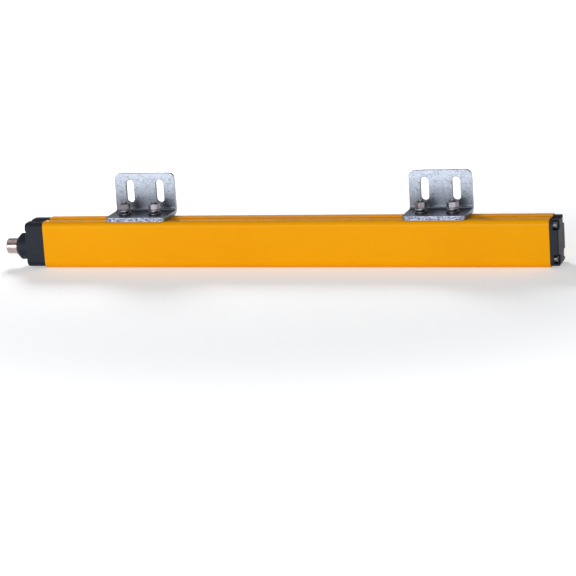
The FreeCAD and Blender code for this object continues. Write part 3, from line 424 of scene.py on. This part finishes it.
def build_bolts():
    """T-head bolts with a real helical thread."""
    low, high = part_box("bracket_bolts")
    vertices, faces = [], []
    bottom, seat, tip = low[2], low[2] + HEAD_HIGH, high[2]
    for middle in BRACKET_MIDDLES:
        for x in (middle - BOLT_FROM_MIDDLE, middle + BOLT_FROM_MIDDLE):
            rows = [head_ring(x, bottom, HEAD_SOFT), head_ring(x, bottom + HEAD_SOFT),
                    head_ring(x, seat - HEAD_SOFT), head_ring(x, seat, HEAD_SOFT),
                    ring_of(HEAD_HALF_X, x, 0, seat, AROUND_BOLT, "z"),
                    ring_of(HEAD_HALF_X, x, 0, seat + LIP, AROUND_BOLT, "z"),
                    ring_of(BOLT_RADIUS - THREAD_DEPTH, x, 0, seat + LIP, AROUND_BOLT, "z")]
            steps = int((tip - seat - LIP) / (BOLT_PITCH / BOLT_ROWS_PER_TURN))
            for step in range(1, steps + 1):
                z = seat + LIP + (tip - seat - LIP) * step / steps
                crest = min(BOLT_RADIUS, BOLT_RADIUS - BOLT_TIP + (tip - z))
                root = min(BOLT_RADIUS - THREAD_DEPTH, crest - 0.02 * MM)
                rows.append(ring_of(thread(crest, root, BOLT_PITCH, z), x, 0, z, AROUND_BOLT, "z"))
            offset = len(vertices)
            for row in rows:
                vertices += row
            skin(rows, AROUND_BOLT, False, faces, offset)
            for row, down in ((0, True), (len(rows) - 1, False)):
                centre = len(vertices)
                vertices.append((x, 0, rows[row][0][2]))
                start = offset + row * AROUND_BOLT
                for step in range(AROUND_BOLT):
                    edge = (start + step, start + (step + 1) % AROUND_BOLT)
                    faces.append((centre, *(edge[::-1] if down else edge)))
    piece = mesh_object("threaded_bolts", vertices, faces, ZINC_SMALL)
    stands_for(piece, "bracket_bolts")


AROUND_SLEEVE, SLEEVE_PITCH, SLEEVE_ROWS_PER_TURN = 72, 1.0 * MM, 7
SLEEVE_THREAD_DEPTH, SLEEVE_BORE_DEPTH, SLEEVE_CHAMFER, COLLAR_THICK = 0.5 * MM, 9 * MM, 0.8 * MM, 1.6 * MM


def build_sleeve():
    """Connector sleeve with its inside thread."""
    low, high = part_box("socket_shell")
    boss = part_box("connector_cap")[0][0]
    mouth, tail, level = low[0], high[0], (low[2] + high[2]) / 2
    outer, collar, neck, bore, rear = 7.5 * MM, (high[2] - low[2]) / 2, 7.0 * MM, 6.0 * MM, 5.3 * MM
    root = bore + SLEEVE_THREAD_DEPTH
    shoulder = mouth + SLEEVE_BORE_DEPTH
    soft = 0.15 * MM
    section = [
        (mouth, root), (mouth, outer - SLEEVE_CHAMFER), (mouth + SLEEVE_CHAMFER, outer),
        (boss - soft, outer), (boss, outer), (boss, collar), (boss + COLLAR_THICK, collar),
        (boss + COLLAR_THICK, neck), (tail - soft, neck), (tail, neck - soft), (tail, rear),
        (shoulder, rear), (shoulder, bore)]
    rows = [ring_of(radius, x, 0, level, AROUND_SLEEVE, "x") for x, radius in section]
    count = int((shoulder - mouth) / SLEEVE_PITCH * SLEEVE_ROWS_PER_TURN)
    for step in range(1, count):
        x = shoulder + (mouth - shoulder) * step / count
        edge = min(1, (x - mouth) / SLEEVE_PITCH)
        crest = bore + SLEEVE_THREAD_DEPTH * (1 - edge)
        rows.append(ring_of(thread(root, crest, SLEEVE_PITCH, x), x, 0, level, AROUND_SLEEVE, "x"))
    vertices, faces = [point for row in rows for point in row], []
    skin(rows, AROUND_SLEEVE, True, faces, 0)
    piece = mesh_object("threaded_sleeve", vertices, faces, NICKEL)
    stands_for(piece, "socket_shell")


FOOT_FRONT = -16.6 * MM
SLOTS_HALF_SPAN, SLOTS_LOW, SLOTS_HIGH = 20 * MM, 56 * MM, 79 * MM


def bracket_finish(polygon):
    """Which of BRACKET_MATERIALS a face has: the foot's front edge, the slots' walls, painted dark as shade,
    or the plain sheet.
    """
    normal, middle = polygon.normal, polygon.center
    if middle.y < FOOT_FRONT and normal.y < -0.35:
        return BRACKET_MATERIALS.index(CUT_EDGE)
    beside_slots = any(abs(middle.x - x) < SLOTS_HALF_SPAN for x in BRACKET_MIDDLES)
    in_slots = beside_slots and SLOTS_LOW < middle.z < SLOTS_HIGH and abs(normal.y) < 0.3
    return BRACKET_MATERIALS.index(SLOT_WALL_SHADE if in_slots else ZINC)


build_bolts()
build_sleeve()
for side in SIDES:
    softened(f"folded_bracket_{side}", f"bracket_{side}", 0.4 * MM, BRACKET_MATERIALS,
             bracket_finish)
softened("moulded_connector_cap", "connector_cap", 0.3 * MM, (NYLON,))
softened("moulded_end_cap", "end_cap", 0.3 * MM, (NYLON,))
softened("bevelled_nuts", "hex_nuts", 0.16 * MM, (ZINC_SMALL,))
softened("pressed_washers", "flat_washers", 0.2 * MM, (ZINC_SMALL,))
softened("split_washers", "spring_washers", 0.2 * MM, (ZINC_SMALL,))


# ---------------------------------------------------------------- stage

FLOOR_GLOW = 0.41
GLOW_RISES_FROM, GLOW_FULL_AT = 0.28, 0.8
FLOOR_COLOUR = (0.93, 0.94, 0.96, 1)
FLOOR_HALF, FLOOR_LEVEL = 9.0, -0.05 * MM
WALL_RADIUS, WALL_HEIGHT, WALL_SIDES = 8.9, 1.2, 64


def floor_material():
    """White that keeps the shadow near the part, and adds more white of its own further out."""
    material = bpy.data.materials.new("floor_white")
    material.use_nodes = True
    tree = material.node_tree
    tree.nodes.clear()
    diffuse = tree.nodes.new("ShaderNodeBsdfDiffuse")
    diffuse.inputs["Color"].default_value = FLOOR_COLOUR
    glow = tree.nodes.new("ShaderNodeEmission")
    glow.inputs["Color"].default_value = (1, 1, 1, 1)
    path = tree.nodes.new("ShaderNodeLightPath")
    seen = None
    for ray in ("Is Camera Ray", "Is Glossy Ray", "Is Transmission Ray"):
        if seen is None:
            seen = path.outputs[ray]
            continue
        both = tree.nodes.new("ShaderNodeMath")
        both.operation = "ADD"
        both.use_clamp = True
        tree.links.new(seen, both.inputs[0])
        tree.links.new(path.outputs[ray], both.inputs[1])
        seen = both.outputs[0]
    place = tree.nodes.new("ShaderNodeTexCoord")
    reach = tree.nodes.new("ShaderNodeVectorMath")
    reach.operation = "LENGTH"
    tree.links.new(place.outputs["Object"], reach.inputs[0])
    fade = tree.nodes.new("ShaderNodeMapRange")
    fade.interpolation_type = "SMOOTHSTEP"
    for socket, number in (("From Min", GLOW_RISES_FROM), ("From Max", GLOW_FULL_AT),
                           ("To Min", FLOOR_GLOW), ("To Max", 1.0)):
        fade.inputs[socket].default_value = number
    tree.links.new(reach.outputs["Value"], fade.inputs["Value"])
    strength = tree.nodes.new("ShaderNodeMath")
    strength.operation = "MULTIPLY"
    tree.links.new(seen, strength.inputs[0])
    tree.links.new(fade.outputs["Result"], strength.inputs[1])
    tree.links.new(strength.outputs[0], glow.inputs["Strength"])
    total = tree.nodes.new("ShaderNodeAddShader")
    out = tree.nodes.new("ShaderNodeOutputMaterial")
    tree.links.new(diffuse.outputs[0], total.inputs[0])
    tree.links.new(glow.outputs[0], total.inputs[1])
    tree.links.new(total.outputs[0], out.inputs["Surface"])
    return material


white = floor_material()
floor = mesh_object("floor", [(x, y, FLOOR_LEVEL) for x, y in (
    (-FLOOR_HALF, -FLOOR_HALF), (FLOOR_HALF, -FLOOR_HALF), (FLOOR_HALF, FLOOR_HALF),
    (-FLOOR_HALF, FLOOR_HALF))], [(0, 1, 2, 3)], white)
turns = [2 * math.pi * step / WALL_SIDES for step in range(WALL_SIDES)]
wall_points = [(WALL_RADIUS * math.cos(turn), WALL_RADIUS * math.sin(turn), height)
               for height in (FLOOR_LEVEL, WALL_HEIGHT) for turn in turns]
wall_faces = []
skin([turns, turns], WALL_SIDES, False, wall_faces, 0)
wall = mesh_object("backdrop", wall_points, [face[::-1] for face in wall_faces], white)


# ---------------------------------------------------------------- light

WORLD_LIGHT = 0.18


def area_light(name, place, aim, size, power, colour=(1, 1, 1)):
    data = bpy.data.lights.new(name, "AREA")
    data.shape = "RECTANGLE"
    data.size, data.size_y = size
    data.energy = power
    data.color = colour
    item = bpy.data.objects.new(name, data)
    item.location = place
    item.rotation_euler = (Vector(aim) - Vector(place)).to_track_quat("-Z", "Y").to_euler()
    bpy.context.scene.collection.objects.link(item)
    return item


front = area_light("front_soft", (-0.35, -2.4, 0.36), (0, 0, 0.02), (2.6, 0.6), 45)
key = area_light("key_back", (-0.6, 1.15, 0.66), (-0.05, 0, 0), (0.4, 0.4), 16.5)
panel = area_light("panel_above", (0, 0, 2.4), (0, 0, 0), (3, 3), 20)
for lamp in (front, key, panel):
    lamp.visible_camera = False
key.visible_glossy = False
panel.visible_diffuse = False

world = bpy.data.worlds.new("studio")
bpy.context.scene.world = world
world.use_nodes = True
tree = world.node_tree
background = next(n for n in tree.nodes if n.type == "BACKGROUND")
background.inputs["Strength"].default_value = WORLD_LIGHT
background.inputs["Color"].default_value = (0.97, 0.985, 1, 1)


# ---------------------------------------------------------------- camera

AZIMUTH, ELEVATION, ROLL = (math.radians(angle) for angle in (16.67, 13.04, -3.72))
DISTANCE = 2.3367
AIM = Vector((-0.009, 0, -0.0228))
back = Vector((math.sin(AZIMUTH) * math.cos(ELEVATION), -math.cos(AZIMUTH) * math.cos(ELEVATION),
               math.sin(ELEVATION)))
level_right = Vector((math.cos(AZIMUTH), math.sin(AZIMUTH), 0))
level_up = back.cross(level_right)
right = math.cos(ROLL) * level_right + math.sin(ROLL) * level_up
up = -math.sin(ROLL) * level_right + math.cos(ROLL) * level_up

camera_data = bpy.data.cameras.new("camera")
camera_data.sensor_width = 36
camera_data.lens = 154.925
camera_data.clip_end = 100
camera = bpy.data.objects.new("camera", camera_data)
bpy.context.scene.collection.objects.link(camera)
camera.matrix_world = Matrix.Translation(AIM + back * DISTANCE) @ Matrix(
    (right, up, back)).transposed().to_4x4()
bpy.context.scene.camera = camera

bpy.context.scene.view_settings.view_transform = "Standard"
